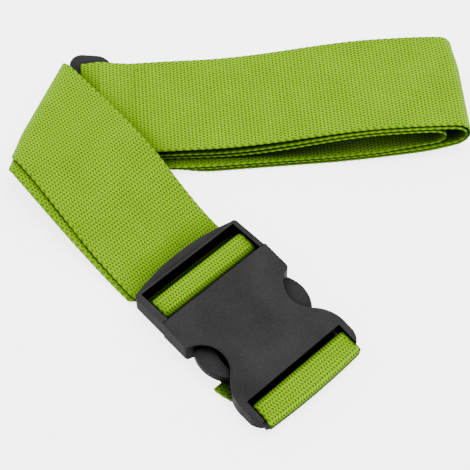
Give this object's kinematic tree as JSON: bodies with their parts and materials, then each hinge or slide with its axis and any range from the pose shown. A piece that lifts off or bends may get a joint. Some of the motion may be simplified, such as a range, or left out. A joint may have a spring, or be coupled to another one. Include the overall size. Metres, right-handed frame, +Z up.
{
  "type": "luggage strap",
  "caption": "Folded webbing luggage strap with a side-release buckle and a slide adjuster, for closing and marking a suitcase",
  "frame": {"origin": "middle of the folded strap's outline, on the surface it lies on", "axes": "+X along the buckle from plug to socket, +Y across the buckle, +Z up"},
  "size_m": [0.1942, 0.1954, 0.0186],
  "materials": {
    "webbing": "woven",
    "thread": "stitched",
    "buckle_plastic": "satin"
  },
  "bodies": {
    "strap": {"plug_frame": "buckle_plastic", "webbing_outer_lap": "webbing", "webbing_middle_lap": "webbing", "webbing_inner_lap": "webbing", "webbing_outer_run": "webbing", "webbing_middle_run": "webbing", "webbing_inner_run": "webbing", "webbing_outer_fold": "webbing", "webbing_middle_fold": "webbing", "webbing_inner_fold": "webbing", "webbing_diagonal_lap": "webbing", "webbing_lower_run": "webbing"},
    "adjuster": {"adjuster": "buckle_plastic", "webbing_adjuster_end": "webbing", "webbing_adjuster_bend": "webbing", "stitching_adjuster": "thread"},
    "socket": {"socket_shell": "buckle_plastic", "webbing_socket_end": "webbing", "stitching_socket": "thread"},
    "arm_left": {"arm_left": "buckle_plastic"},
    "arm_right": {"arm_right": "buckle_plastic"}
  },
  "joints": [
    {"name": "socket_pull", "type": "slide", "parent": "strap", "child": "socket", "axis": [1, 0, 0], "range_m": [0, 0.045], "deforming": ["arm_left", "arm_right"]},
    {"name": "adjuster_slide", "type": "slide", "parent": "strap", "child": "adjuster", "axis": [0.6129, 0.7902, 0], "range_m": [0, 0.004], "deforming": ["webbing_outer_run", "webbing_middle_run", "webbing_inner_run"]},
    {"name": "arm_left_squeeze", "type": "hinge", "parent": "strap", "child": "arm_left", "pos_m": [0.041, -0.04976, 0.0071], "axis": [0, 0, -1], "range_deg": [0, 10], "stiffness_Nm_per_rad": 0.02},
    {"name": "arm_right_squeeze", "type": "hinge", "parent": "strap", "child": "arm_right", "pos_m": [0.041, -0.08856, 0.0071], "axis": [0, 0, 1], "range_deg": [0, 10], "stiffness_Nm_per_rad": 0.02}
  ]
}
